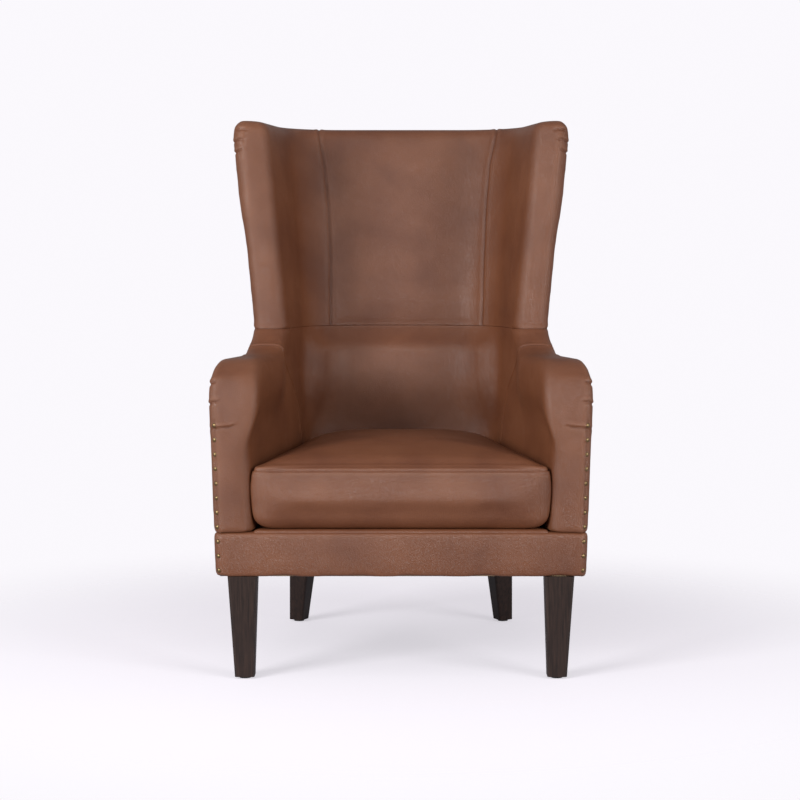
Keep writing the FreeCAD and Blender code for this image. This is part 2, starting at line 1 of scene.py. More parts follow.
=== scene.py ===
import bpy
import json
import math
import numpy as np
from mathutils import Matrix, Vector

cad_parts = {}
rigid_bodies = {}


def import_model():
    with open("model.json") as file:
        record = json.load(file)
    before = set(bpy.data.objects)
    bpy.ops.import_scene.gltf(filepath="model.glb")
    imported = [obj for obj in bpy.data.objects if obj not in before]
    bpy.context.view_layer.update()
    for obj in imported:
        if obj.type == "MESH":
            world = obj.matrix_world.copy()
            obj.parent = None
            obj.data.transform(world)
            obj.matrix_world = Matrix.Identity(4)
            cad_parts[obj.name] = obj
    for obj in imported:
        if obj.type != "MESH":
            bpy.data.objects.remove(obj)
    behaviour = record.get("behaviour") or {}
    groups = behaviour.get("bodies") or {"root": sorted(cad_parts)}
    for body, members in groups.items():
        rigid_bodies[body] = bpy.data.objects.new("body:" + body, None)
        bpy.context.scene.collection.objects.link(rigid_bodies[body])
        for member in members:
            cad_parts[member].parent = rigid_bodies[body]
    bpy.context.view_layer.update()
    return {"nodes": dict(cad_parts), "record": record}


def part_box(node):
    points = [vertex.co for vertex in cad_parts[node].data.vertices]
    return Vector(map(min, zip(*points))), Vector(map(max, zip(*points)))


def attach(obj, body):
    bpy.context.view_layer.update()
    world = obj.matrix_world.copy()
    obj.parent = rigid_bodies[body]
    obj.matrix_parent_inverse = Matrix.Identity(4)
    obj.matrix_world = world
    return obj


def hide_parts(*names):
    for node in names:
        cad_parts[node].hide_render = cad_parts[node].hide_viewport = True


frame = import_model()
bpy.ops.object.select_all(action="DESELECT")
print("frame loaded")

# Sizes of the chair in metres. Depths called y are counted back from the front face.
chair = {
    "front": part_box("front_border")[0][1],
    "foot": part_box("front_rail")[0][2],
    "border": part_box("front_border")[1][2],
    "waist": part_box("lumbar_cover")[1][2],
    "crown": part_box("inside_back_cover")[1][2],
    "deck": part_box("deck_cover")[1][2],
    "halfAtFoot": 0.3585,
    "halfAtWaist": 0.374,
    "halfAtCrown": 0.426,
    "toeIn": 0.185,
    "wall": 0.072,
    "backWall": 0.080,
    "seatDepth": 0.495,
    "footBack": 0.620,
    "recline": 0.20,
    "outerCorner": 0.140,
    "innerCorner": (0.075, 0.125),
    "wingFront": 0.340,
    "wingRake": 0.105,
    "edgeRound": 0.024,
    "panelInset": 0.0028,
    "panelStep": 0.004,
    "crownPanel": 0.033,
    "waistPanel": 0.036,
    "armPanel": 0.044,
    "seamGap": 0.0004,
    "overlap": 0.01,
    "returnWidth": 0.030,
}
toeCos = math.cos(math.atan(chair["toeIn"]))


def smooth(low, high, value):
    t = np.clip((np.asarray(value, float) - low) / (high - low), 0.0, 1.0)
    return t * t * (3.0 - 2.0 * t)


def halfWidth(z):
    if z <= chair["waist"]:
        share = (z - chair["foot"]) / (chair["waist"] - chair["foot"])
        return chair["halfAtFoot"] + share * (chair["halfAtWaist"] - chair["halfAtFoot"])
    share = (z - chair["waist"]) / (chair["crown"] - chair["waist"])
    return chair["halfAtWaist"] + share * (chair["halfAtCrown"] - chair["halfAtWaist"])


def insideBack(z):
    return chair["seatDepth"] + chair["recline"] * (z - chair["deck"])


def outsideBack(z):
    waistBack = insideBack(chair["waist"]) + chair["backWall"]
    if z >= chair["waist"]:
        return insideBack(z) + chair["backWall"]
    share = (z - chair["foot"]) / (chair["waist"] - chair["foot"])
    return chair["footBack"] + share * (waistBack - chair["footBack"])


def wingEdge(z):
    return chair["wingFront"] + chair["wingRake"] * (z - chair["waist"])


# Mesh helpers

def roundedRing(corners, steps=8):
    # points of a closed outline through corners (a, b, radius)
    points = []
    for i, (a, b, r) in enumerate(corners):
        before = Vector(corners[i - 1][:2]) - Vector((a, b))
        after = Vector(corners[(i + 1) % len(corners)][:2]) - Vector((a, b))
        before.normalize()
        after.normalize()
        inside = math.acos(max(-1.0, min(1.0, before.dot(after))))
        reach = r / math.tan(inside / 2.0)
        middle = (before + after).normalized()
        centre = Vector((a, b)) + middle * (r / math.sin(inside / 2.0))
        start = Vector((a, b)) + before * reach - centre
        end = Vector((a, b)) + after * reach - centre
        turn = start.angle_signed(end) if r > 0 else 0.0
        for k in range(steps + 1):
            if r > 0:
                angle = -turn * k / steps
                c, s = math.cos(angle), math.sin(angle)
                points.append((centre[0] + c * start[0] - s * start[1],
                               centre[1] + s * start[0] + c * start[1]))
            else:
                points.append((a, b))
    return points


def bothHalves(right):
    # corners of the right half of a plan, then of its left half
    return right + [(-x, y, r) for x, y, r in right[::-1]]


def atHeight(plan, z):
    return [(x, chair["front"] + y, z) for x, y in plan]


def ringSolid(name, rings):
    # closed solid through rings of 3-D points, all with the same number of points
    count = len(rings[0])
    vertices = [p for ring in rings for p in ring]
    faces = []
    for i in range(len(rings) - 1):
        for k in range(count):
            n = (k + 1) % count
            faces.append((i * count + k, i * count + n, (i + 1) * count + n, (i + 1) * count + k))
    faces.append(tuple(range(count))[::-1])
    faces.append(tuple((len(rings) - 1) * count + k for k in range(count)))
    mesh = bpy.data.meshes.new(name)
    mesh.from_pydata(vertices, [], faces)
    piece = bpy.data.objects.new(name, mesh)
    bpy.context.collection.objects.link(piece)
    useAlone(piece)
    bpy.ops.object.mode_set(mode="EDIT")
    bpy.ops.mesh.select_all(action="SELECT")
    bpy.ops.mesh.remove_doubles(threshold=0.00001)
    bpy.ops.mesh.normals_make_consistent(inside=False)
    bpy.ops.object.mode_set(mode="OBJECT")
    return piece


def useAlone(piece):
    bpy.ops.object.select_all(action="DESELECT")
    piece.select_set(True)
    bpy.context.view_layer.objects.active = piece


def joined(name, pieces):
    bpy.ops.object.select_all(action="DESELECT")
    for piece in pieces:
        piece.select_set(True)
    bpy.context.view_layer.objects.active = pieces[0]
    bpy.ops.object.join()
    pieces[0].name = name
    return pieces[0]


def remesh(piece, voxel):
    useAlone(piece)
    piece.data.remesh_voxel_size = voxel
    piece.data.remesh_voxel_adaptivity = 0.0
    bpy.ops.object.voxel_remesh()


def readPoints(piece):
    points = np.empty(len(piece.data.vertices) * 3)
    piece.data.vertices.foreach_get("co", points)
    return points.reshape(-1, 3)


def readNormals(piece):
    normals = np.empty(len(piece.data.vertices) * 3)
    piece.data.vertices.foreach_get("normal", normals)
    return normals.reshape(-1, 3)


def writePoints(piece, points):
    piece.data.vertices.foreach_set("co", points.ravel())
    piece.data.update()


def averaged(piece, values, times):
    # each value moves to the mean of its neighbours, a number of times
    edges = np.empty(len(piece.data.edges) * 2, dtype=np.int64)
    piece.data.edges.foreach_get("vertices", edges)
    a, b = edges.reshape(-1, 2).T
    count = len(values)
    links = np.bincount(a, minlength=count) + np.bincount(b, minlength=count)
    for _ in range(times):
        total = np.zeros_like(values)
        for k in range(values.shape[1]):
            total[:, k] = (np.bincount(a, weights=values[b, k], minlength=count)
                           + np.bincount(b, weights=values[a, k], minlength=count))
        values = total / links[:, None]
    return values


def relax(piece, times, share=None):
    # rounds small forms and gives back what the large ones lose by it
    points = readPoints(piece)
    softer = averaged(piece, points, times)
    softer = softer - 0.85 * averaged(piece, softer - points, times)
    if share is not None:
        softer = points + (softer - points) * share[:, None]
    writePoints(piece, softer)


def pushOut(piece, amount):
    # moves each point along its normal
    writePoints(piece, readPoints(piece) + readNormals(piece) * amount[:, None])


def subdivide(piece):
    useAlone(piece)
    modifier = piece.modifiers.new("finer", "SUBSURF")
    modifier.levels = 1
    modifier.render_levels = 1
    bpy.ops.object.modifier_apply(modifier="finer")


def markWearAndShade(piece):
    # wear and painted shade: above 0.5 on proud edges, drawn as rubbed wear; below 0.5 in creases, drawn
    # darker as painted shade
    points = readPoints(piece)
    away = ((points - averaged(piece, points, 12)) * readNormals(piece)).sum(axis=1)
    wearAndShade = np.clip(0.5 + away / 0.004, 0.0, 1.0)
    layer = piece.data.attributes.new("wearAndShade", "FLOAT", "POINT")
    layer.data.foreach_set("value", averaged(piece, wearAndShade[:, None], 2)[:, 0])


def smoothShade(piece):
    useAlone(piece)
    bpy.ops.object.shade_smooth()


def distanceTo(flat, line):
    # distance of 2-D points from a run of straight lines, and how far along they lie, 0 to 1
    best = np.full(len(flat), 9.0)
    along = np.zeros(len(flat))
    line = np.asarray(line, float)
    lengths = np.linalg.norm(np.diff(line, axis=0), axis=1)
    done = np.concatenate([[0.0], np.cumsum(lengths)]) / lengths.sum()
    for i in range(len(line) - 1):
        a, b = line[i], line[i + 1]
        t = np.clip(((flat - a) @ (b - a)) / ((b - a) @ (b - a)), 0.0, 1.0)
        d = np.linalg.norm(flat - a - t[:, None] * (b - a), axis=1)
        nearer = d < best
        best[nearer] = d[nearer]
        along[nearer] = (done[i] + t * (done[i + 1] - done[i]))[nearer]
    return best, along


def groove(distance, width, depth):
    return -depth * np.exp(-(distance / width) ** 2)


def ridge(distance, away, width, height):
    # soft rise beside a seam
    return height * np.exp(-((distance - away) / width) ** 2)


def finishPiece(piece, material, body, nodes):
    piece.data.materials.clear()
    piece.data.materials.append(material)
    smoothShade(piece)
    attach(piece, body)
    if nodes:
        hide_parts(*nodes)


# Materials

def addNode(tree, kind, values=(), **settings):
    # new shader node: its own settings first, then its input values
    node = tree.nodes.new("ShaderNode" + kind)
    for key, value in settings.items():
        setattr(node, key, value)
    for key, value in dict(values).items():
        node.inputs[key].default_value = value
    return node


def wire(tree, *runs):
    # each run is a node, its output, another node and its input
    for start, output, end, value in runs:
        tree.links.new(start.outputs[output], end.inputs[value])


def addRamp(tree, low, high, start=0.0, end=1.0):
    ramp = addNode(tree, "ValToRGB")
    for element, place, colour in zip(ramp.color_ramp.elements, (start, end), (low, high)):
        element.position = place
        element.color = (*colour, 1.0)
    return ramp


def newMaterial(name):
    material = bpy.data.materials.new(name)
    material.use_nodes = True
    return material, material.node_tree, material.node_tree.nodes["Principled BSDF"]


def grainGroup():
    # pebbled hide: height for bump, patches of colour, which the roughness also follows, and pore depth
    group = bpy.data.node_groups.new("hideGrain", "ShaderNodeTree")
    for name, value in (("Pebbles", 500.0), ("Patches", 9.0)):
        socket = group.interface.new_socket(name=name, in_out="INPUT", socket_type="NodeSocketFloat")
        socket.default_value = value
    for name in ("Height", "Patch", "Pore"):
        group.interface.new_socket(name=name, in_out="OUTPUT", socket_type="NodeSocketFloat")
    inputs = group.nodes.new("NodeGroupInput")
    outputs = group.nodes.new("NodeGroupOutput")
    place = addNode(group, "TexCoord")
    wobble = addNode(group, "TexNoise", {"Scale": 160.0})
    shifted = addNode(group, "VectorMath", {1: (0.0016, 0.0016, 0.0016)}, operation="MULTIPLY_ADD")
    pebbles = addNode(group, "TexVoronoi", feature="DISTANCE_TO_EDGE")
    fine = addNode(group, "TexNoise", {"Scale": 1900.0, "Detail": 3.0})
    domes = addNode(group, "MapRange", {"From Max": 0.22})
    height = addNode(group, "Math", {1: 0.25}, operation="MULTIPLY_ADD")
    patches = addNode(group, "TexNoise", {"Detail": 4.0, "Roughness": 0.55, "Distortion": 0.15})
    wire(group, (place, "Object", wobble, "Vector"),
         (wobble, "Color", shifted, 0),
         (place, "Object", shifted, 2),
         (shifted, "Vector", pebbles, "Vector"),
         (inputs, "Pebbles", pebbles, "Scale"),
         (place, "Object", fine, "Vector"),
         (pebbles, "Distance", domes, "Value"),
         (fine, "Fac", height, 0),
         (domes, "Result", height, 2),
         (place, "Object", patches, "Vector"),
         (inputs, "Patches", patches, "Scale"),
         (height, "Value", outputs, "Height"),
         (patches, "Fac", outputs, "Patch"),
         (domes, "Result", outputs, "Pore"))
    return group


hide = {
    "dark": (0.128, 0.040, 0.016),
    "middle": (0.158, 0.053, 0.022),
    "light": (0.190, 0.068, 0.030),
    "rubbed": (0.28, 0.125, 0.07),
    # painted shade: darker colour mixed into creases and seams where shade falls
    "paintedCreaseShade": (0.050, 0.016, 0.009),
    "roughLow": 0.35,
    "roughHigh": 0.45,
    "bump": 0.55,
    "bumpDepth": 0.0005,
}


def leatherMaterial(name, group, wornAndShaded):
    material, tree, shader = newMaterial(name)
    grain = addNode(tree, "Group", node_tree=group)
    ramp = addRamp(tree, hide["dark"], hide["light"], 0.30, 0.74)
    middle = ramp.color_ramp.elements.new(0.50)
    middle.color = (*hide["middle"], 1.0)
    pores = addNode(tree, "Mix", {"Factor": 0.35}, data_type="RGBA", blend_type="MULTIPLY")
    shade = addNode(tree, "MapRange", {"To Min": 0.55})
    wire(tree, (grain, "Patch", ramp, "Fac"), (ramp, "Color", pores, "A"),
         (grain, "Pore", shade, "Value"), (shade, "Result", pores, "B"))
    colour = pores
    # proud edges lighten as rubbed wear; creases darken with painted shade
    if wornAndShaded:
        wearAndShade = addNode(tree, "Attribute", attribute_name="wearAndShade")
        for tint, values in (("rubbed", {"From Min": 0.54, "From Max": 0.95, "To Max": 0.4}),
                             ("paintedCreaseShade", {"From Min": 0.44, "From Max": 0.10, "To Max": 0.85})):
            span = addNode(tree, "MapRange", values)
            mixed = addNode(tree, "Mix", data_type="RGBA")
            mixed.inputs["B"].default_value = (*hide[tint], 1.0)
            wire(tree, (wearAndShade, "Fac", span, "Value"), (span, "Result", mixed, "Factor"),
                 (colour, "Result", mixed, "A"))
            colour = mixed
    rough = addNode(tree, "MapRange", {"From Min": 0.3, "From Max": 0.7,
                                       "To Min": hide["roughHigh"], "To Max": hide["roughLow"]})
    bump = addNode(tree, "Bump", {"Strength": hide["bump"], "Distance": hide["bumpDepth"]})
    wire(tree, (colour, "Result", shader, "Base Color"),
         (grain, "Patch", rough, "Value"), (rough, "Result", shader, "Roughness"),
         (grain, "Height", bump, "Height"), (bump, "Normal", shader, "Normal"))
    return material


hideGrain = grainGroup()
leather = leatherMaterial("pullUpLeather", hideGrain, True)
outsideLeather = leatherMaterial("outsideLeather", hideGrain, False)
print("materials ready")


# Leather-covered wall round the seat: arms and lower back under the waist seam, wings and back over it

shell = {
    "voxel": 0.005,
    "soften": 10,
    "joinSoften": 30,
    "backSwell": 0.010,
    "lumbarSwell": 0.024,
    "wingSwell": 0.004,
    "flare": 0.0065,
    "strip": (0.018, 0.032),
    "joinAt": (0.325, 0.662),
    "joinSpread": (0.040, 0.030),
    "underWidth": 0.010,
    "underDepth": 0.003,
    "cutGap": 0.0003,
    "armBulge": 0.0035,
    "waistWidth": 0.0042,
    "waistDepth": 0.0022,
    "seamWidth": 0.0022,
    "seamDepth": 0.0018,
    "backRidge": (0.006, 0.004, 0.0008),
    "armRidge": (0.005, 0.003, 0.0008),
    "seamLeft": [(-0.154, 0.665), (-0.154, 0.80), (-0.160, 0.925), (-0.170, 1.02), (-0.183, 1.098)],
    "seamRight": [(0.176, 0.665), (0.180, 0.80), (0.186, 0.925), (0.195, 1.02), (0.213, 1.098)],
    "armSeam": [(0.305, 0.655), (0.292, 0.640), (0.296, 0.622), (0.304, 0.604), (0.340, 0.575),
                (0.386, 0.537), (0.413, 0.492), (0.430, 0.432), (0.436, 0.300)],
}

arm = {
    "height": 0.616,
    "round": 0.024,
    "sweptRound": 0.016,
    "nose": 0.090,
    "swell": 0.020,
    "swellDrop": 0.062,
    "swellBlend": 0.070,
    "levelEnd": 0.200,
    "sweepEnd": 0.336,
    "tighten": 0.3,
}


def armTop(y):
    if y < arm["nose"]:
        drop = arm["nose"] - y
        return arm["height"] - arm["nose"] + math.sqrt(arm["nose"] ** 2 - drop ** 2)
    rise = chair["waist"] - arm["height"]
    t = min(1.0, max(0.0, (y - arm["levelEnd"]) / (arm["sweepEnd"] - arm["levelEnd"])))
    return arm["height"] + rise * t ** 2.9


armProfile = np.array([(y, armTop(y)) for y in np.linspace(0.0, 0.45, 91)])


def innerCorner(z):
    # tight behind the cushion, wide above it
    low, high = chair["innerCorner"]
    return low + (high - low) * float(smooth(0.43, 0.56, z))


def wallPlan(z, inset, front, endRound):
    outHalf = halfWidth(z) - inset / toeCos
    outBack = outsideBack(z) - inset
    inHalf = halfWidth(z) - (chair["wall"] - inset) / toeCos
    inBack = insideBack(z) + inset
    toe = chair["toeIn"]
    right = [(outHalf - toe * front, front, endRound),
             (outHalf - toe * outBack, outBack, chair["outerCorner"] - inset)]
    inner = [(inHalf - toe * inBack, inBack, innerCorner(z) + inset),
             (inHalf - toe * front, front, endRound * 1.4)]
    corners = bothHalves(right) + [(-x, y, r) for x, y, r in inner[::-1]] + inner
    return atHeight(roundedRing(corners), z)


def armRing(y, edge):
    settled = float(smooth(arm["levelEnd"], arm["sweepEnd"], y))
    top = armTop(y) - edge
    tight = arm["round"] * (1.0 - settled) + arm["sweptRound"] * settled - arm["tighten"] * edge
    low = chair["border"] + chair["seamGap"]
    swell = arm["swell"] * (1.0 - settled)
    out = halfWidth(low) - chair["toeIn"] * y - edge / toeCos

    def inner(z):
        drop = armTop(y) - z
        bulge = swell * float(1.0 - smooth(arm["swellDrop"] - 0.01,
                                           arm["swellDrop"] + arm["swellBlend"], drop))
        return halfWidth(z) - chair["toeIn"] * y - (chair["wall"] - edge) / toeCos - bulge

    topOut = halfWidth(top) - chair["toeIn"] * y - edge / toeCos
    corners = [(out, low, 0.0), (topOut, top, tight), (inner(top), top, tight)]
    ring = roundedRing(corners + [(inner(low), low, 0.0)], 7)[:24]
    side = [(inner(z), z) for z in np.linspace(top - tight * 1.06, low, 26)]
    return [(x, chair["front"] + y, z) for x, z in ring[:1] + ring[8:] + side]


def armSolids():
    edge = chair["edgeRound"]
    rings = []
    for angle in (90.0, 75.0, 60.0, 45.0, 30.0, 15.0, 0.0):
        turn = math.radians(angle)
        rings.append(armRing(edge * (1.0 - math.sin(turn)), edge * (1.0 - math.cos(turn))))
    for y in np.linspace(0.034, 0.40, 28):
        rings.append(armRing(float(y), 0.0))
    right = ringSolid("armRight", rings)
    left = ringSolid("armLeft", [[(-x, y, z) for x, y, z in ring] for ring in rings])
    return [right, left]


def lowerBackSolid():
    low, high = chair["border"] + chair["seamGap"], chair["waist"] + chair["overlap"]
    levels = np.linspace(low, high, 14)
    return ringSolid("lowerBack", [wallPlan(z, 0.0, 0.350, 0.004) for z in levels])


def wingSolid():
    high, edge = chair["crown"], chair["edgeRound"]
    levels = np.linspace(chair["waist"] - chair["overlap"], high - edge, 16)
    rings = [wallPlan(z, 0.0, wingEdge(z), edge) for z in levels]
    for angle in (15.0, 30.0, 45.0, 60.0, 75.0, 90.0):
        turn = math.radians(angle)
        inset = edge * (1.0 - math.cos(turn))
        z = high - edge + edge * math.sin(turn)
        rings.append(wallPlan(z, inset, wingEdge(z) + inset, max(edge - inset, 0.001)))
    return ringSolid("wings", rings)


def onPanel(points):
    # 1 where an outside panel lies over the wall, 0 at its leather edges
    y = points[:, 1] - chair["front"]
    z = points[:, 2]
    step = chair["panelStep"]
    edge = chair["wingFront"] + chair["wingRake"] * (z - chair["waist"]) + chair["returnWidth"]
    upper = smooth(0.0, step, y - edge) * smooth(0.0, step, chair["crown"] - chair["crownPanel"] - z)
    armTops = np.interp(y, armProfile[:, 0], armProfile[:, 1]) - chair["armPanel"]
    lower = smooth(0.0, step, y - chair["returnWidth"]) * smooth(0.0, step, armTops - z)
    return np.where(z > chair["waist"] - chair["waistPanel"], upper, np.maximum(lower, upper * (z > 0.6)))


def outwards(points):
    # unit directions away from the middle of the seat, in plan
    away = points[:, :2] - np.array([0.0, chair["front"] + 0.28])
    return away / np.linalg.norm(away, axis=1)[:, None]


def fillShell(piece):
    points, normals = readPoints(piece), readNormals(piece)
    y, z = points[:, 1] - chair["front"], points[:, 2]
    forward = smooth(0.25, 0.8, -normals[:, 1])
    # the back and the lower back each swell between their seams
    high = z - chair["waist"]
    tall = chair["crown"] - chair["waist"]
    middle = 1.0 - smooth(0.0, 0.26, np.abs(points[:, 0]))
    back = forward * smooth(0.44, 0.52, y) * smooth(0.0, 0.06, high) * smooth(0.0, 0.10, tall - high)
    amount = back * shell["backSwell"] * (0.5 + 0.5 * middle)
    lumbar = smooth(0.15, 0.7, -normals[:, 1]) * smooth(0.40, 0.47, y)
    amount += lumbar * smooth(0.43, 0.57, z) * smooth(0.0, 0.06, -high) * shell["lumbarSwell"]
    facing = -np.sign(points[:, 0]) * normals[:, 0]
    edge = chair["wingFront"] + chair["wingRake"] * high
    wing = smooth(0.5, 0.9, facing) * smooth(0.03, 0.08, y - edge) * smooth(0.0, 0.06, high)
    amount += wing * smooth(0.0, 0.10, tall - high) * shell["wingSwell"]
    # rolled front edges stand out past the outside panels
    strip = (1.0 - smooth(*shell["strip"], y - edge)) * smooth(0.0, 0.5, -facing + 0.2)
    amount += strip * smooth(0.16, 0.28, high) * (1.0 - 0.5 * smooth(0.39, 0.43, high)) * shell["flare"]
    armEdge = (1.0 - smooth(*shell["strip"], y)) * smooth(0.0, 0.5, -facing + 0.2) * (high < -0.02)
    amount += armEdge * shell["armBulge"]
    roll = smooth(0.0, 0.03, z - (np.interp(y, armProfile[:, 0], armProfile[:, 1]) - 0.046))
    roll = roll * smooth(0.2, 0.6, -facing) * (y < 0.25) * (high < -0.02)
    amount += roll * shell["armBulge"] * (1.0 - armEdge)
    # the back turns under a little at the waist
    amount += groove(high - 0.002, shell["underWidth"], shell["underDepth"]) * backBand(points, y)
    pushOut(piece, amount)
    outer = onPanel(points) * smooth(0.2, 0.5, (readNormals(piece)[:, :2] * outwards(points)).sum(axis=1))
    pushOut(piece, -outer * chair["panelInset"])


def backBand(points, y):
    return (1.0 - smooth(0.12, 0.22, np.abs(points[:, 0]))) * (y > 0.44) * (y < 0.64)


def joinedShell():
    piece = joined("shell", armSolids() + [lowerBackSolid(), wingSolid()])
    remesh(piece, shell["voxel"])
    relax(piece, shell["soften"])
    points = readPoints(piece)
    y = points[:, 1] - chair["front"]
    (joinY, joinZ), (wide, tall) = shell["joinAt"], shell["joinSpread"]
    near = np.exp(-((y - joinY) / wide) ** 2 - ((points[:, 2] - joinZ) / tall) ** 2)
    relax(piece, shell["joinSoften"], np.clip(near * 1.2, 0.0, 1.0))
    fillShell(piece)
    return piece


def cutShell(piece, name, keepUpper):
    # the part of the wall on one side of the waist seam, with a groove sunk along the cut; closeCut later
    # closes it with a flat face
    half = piece.copy()
    half.data = piece.data.copy()
    half.name = name
    bpy.context.collection.objects.link(half)
    useAlone(half)
    bpy.ops.object.mode_set(mode="EDIT")
    bpy.ops.mesh.select_all(action="SELECT")
    shift = shell["cutGap"] if keepUpper else -shell["cutGap"]
    bpy.ops.mesh.bisect(plane_co=(0.0, 0.0, chair["waist"] + shift), plane_no=(0.0, 0.0, 1.0),
                        clear_inner=keepUpper, clear_outer=not keepUpper)
    bpy.ops.object.mode_set(mode="OBJECT")
    subdivide(half)
    points, normals = readPoints(half), readNormals(half)
    high = points[:, 2] - chair["waist"]
    flat = np.column_stack([normals[:, 0], normals[:, 1], np.zeros(len(points))])
    sunk = groove(high, shell["waistWidth"], shell["waistDepth"]) * (1.0 - onPanel(points))
    writePoints(half, points + flat * sunk[:, None])
    return half


def closeCut(piece):
    # flat face over the open rim at the waist
    useAlone(piece)
    bpy.ops.object.mode_set(mode="EDIT")
    bpy.ops.mesh.select_mode(type="EDGE")
    bpy.ops.mesh.select_all(action="DESELECT")
    bpy.ops.mesh.select_non_manifold(extend=False, use_wire=False, use_boundary=True,
                                     use_multi_face=False, use_non_contiguous=False, use_verts=False)
    bpy.ops.mesh.edge_face_add()
    bpy.ops.mesh.select_mode(type="VERT")
    bpy.ops.object.mode_set(mode="OBJECT")


nail = {
    "radius": 0.0046,
    "rise": 0.0023,
    "pitch": 0.028,
    "edge": 0.0065,
    "frontLine": ([0.20, 0.50], [0.350, 0.3575]),
}

pleats = {
    "wing": [[(0.350, 1.052), (0.338, 1.059), (0.322, 1.058)],
             [(0.352, 1.028), (0.341, 1.034), (0.330, 1.040)],
             [(0.345, 1.078), (0.333, 1.080), (0.316, 1.078)]],
    "arm": [[(0.371, 0.566), (0.362, 0.574), (0.352, 0.576)],
            [(0.370, 0.530), (0.360, 0.537), (0.346, 0.537)],
            [(0.366, 0.485), (0.345, 0.487), (0.327, 0.488), (0.312, 0.494)]],
    "width": 0.0020,
    "depth": 0.0026,
}


def pleat(points, lines, side, near):
    # short folds drawn in the front view, deepest in their middle
    flat = points[:, [0, 2]] * np.array([side, 1.0])
    amount = np.zeros(len(points))
    for line in lines:
        distance, along = distanceTo(flat, line)
        fade = np.clip(1.6 * np.sin(math.pi * np.clip(along * 0.9 + 0.12, 0.0, 1.0)), 0.0, 1.0)
        fade = np.where((along <= 0.0) | (along >= 1.0), fade * 0.4, fade)
        amount += groove(distance, pleats["width"], pleats["depth"]) * fade
        above = flat[:, 1] - np.interp(flat[:, 0], *zip(*sorted(line)))
        lip = np.exp(-((above - 0.005) / 0.004) ** 2) * (distance < 0.014)
        amount += 0.0012 * lip * fade
    return amount * near


def bothSides(points, lines, near):
    return pleat(points, lines, 1.0, near) + pleat(points, lines, -1.0, near)


def buildWings(whole):
    piece = cutShell(whole, "wingsAndBack", True)
    points, normals = readPoints(piece), readNormals(piece)
    y = points[:, 1] - chair["front"]
    front = smooth(0.1, 0.4, -normals[:, 1]) + smooth(0.3, 0.6, normals[:, 2]) * (points[:, 2] > 1.06)
    front = np.clip(front, 0.0, 1.0) * (y > 0.46)
    amount = np.zeros(len(points))
    for side in ("seamLeft", "seamRight"):
        line = shell[side] + [(shell[side][-1][0] * 1.01, chair["crown"] + 0.02)]
        distance, _ = distanceTo(points[:, [0, 2]], line)
        amount += groove(distance, shell["seamWidth"], shell["seamDepth"])
        amount += ridge(distance, *shell["backRidge"])
    near = smooth(0.0, 0.02, wingEdge(1.06) + 0.045 - y) * (normals[:, 1] < 0.5)
    pushOut(piece, amount * front + bothSides(points, pleats["wing"], near))
    markWearAndShade(piece)
    closeCut(piece)
    finishPiece(piece, leather, "chair",
                ["inside_back_cover", "inside_wing_cover_left", "inside_wing_cover_right", "back_foam"])
    print("wings and back")


def buildLower(whole):
    piece = cutShell(whole, "armsAndLowerBack", False)
    points, normals = readPoints(piece), readNormals(piece)
    flat = points[:, [1, 2]] - np.array([chair["front"], 0.0])
    distance, _ = distanceTo(flat, shell["armSeam"])
    facing = -np.sign(points[:, 0]) * normals[:, 0]
    near = np.clip(smooth(0.05, 0.3, facing) + smooth(0.2, 0.5, normals[:, 2]), 0.0, 1.0)
    near = near * (np.abs(points[:, 0]) > 0.17)
    amount = groove(distance, shell["seamWidth"], shell["seamDepth"])
    amount += ridge(distance, *shell["armRidge"])
    front = smooth(0.0, 0.03, 0.10 - flat[:, 0]) * (normals[:, 1] < 0.6)
    edge = np.abs(points[:, 0]) - np.interp(points[:, 2], *nail["frontLine"])
    edge = groove(edge, 0.0022, 0.0012) * (flat[:, 0] < 0.02) * (points[:, 2] < 0.50)
    pushOut(piece, amount * near + edge + bothSides(points, pleats["arm"], front))
    markWearAndShade(piece)
    closeCut(piece)
    finishPiece(piece, leather, "chair",
                ["arm_cover_left", "arm_cover_right", "arm_foam_left", "arm_foam_right",
                 "lumbar_cover", "lumbar_foam"])
    print("arms and lower back")


# Leather across the front, under the cushion

border = {
    "voxel": 0.004,
    "back": 0.0295,
    "cornerRound": 0.022,
    "edge": 0.008,
    "wave": 0.0012,
    "bulge": 0.0045,
}


def buildBorder():
    low, high = chair["foot"], chair["border"]
    edge = border["edge"]
    rings = []
    levels = [(low + edge * (1.0 - math.cos(math.radians(a))), edge * (1.0 - math.sin(math.radians(a))))
              for a in (0.0, 30.0, 60.0, 90.0)]
    levels += [(high - edge + edge * math.sin(math.radians(a)), edge * (1.0 - math.cos(math.radians(a))))
               for a in (0.0, 30.0, 60.0, 90.0)]
    for z, inset in levels:
        half = halfWidth(z) - inset / toeCos
        toe = chair["toeIn"]
        right = [(half - toe * inset, inset, border["cornerRound"] - inset * 0.5),
                 (half - toe * border["back"], border["back"], 0.001)]
        rings.append(atHeight(roundedRing(bothHalves(right)), z))
    piece = ringSolid("frontBorder", rings)
    remesh(piece, border["voxel"])
    relax(piece, 3)
    points, normals = readPoints(piece), readNormals(piece)
    hem = 1.0 - smooth(0.0, 0.02, points[:, 2] - low)
    wave = np.sin(points[:, 0] * 47.0) + 0.6 * np.sin(points[:, 0] * 83.0 + 1.0)
    points[:, 2] += hem * border["wave"] * (wave - 0.2)
    points[:, 2] = np.maximum(points[:, 2], low)
    writePoints(piece, points)
    soft = smooth(0.0, 0.03, points[:, 2] - low) * smooth(0.0, 0.03, high - points[:, 2])
    swell = 0.0012 * smooth(0.3, 0.9, -normals[:, 1])
    ends = border["bulge"] * smooth(0.2, 0.8, np.sign(points[:, 0]) * normals[:, 0])
    strip = 1.0 - smooth(0.016, 0.028, points[:, 1] - chair["front"])
    pushOut(piece, swell * soft + ends * strip)
    subdivide(piece)
    markWearAndShade(piece)
    finishPiece(piece, leather, "chair", ["front_border", "rail_pad"])
    print("front border")


# Platform under the cushion

deck = {
    "front": 0.006,
    "clear": 0.0015,
    "edge": 0.005,
    "sink": 0.004,
}


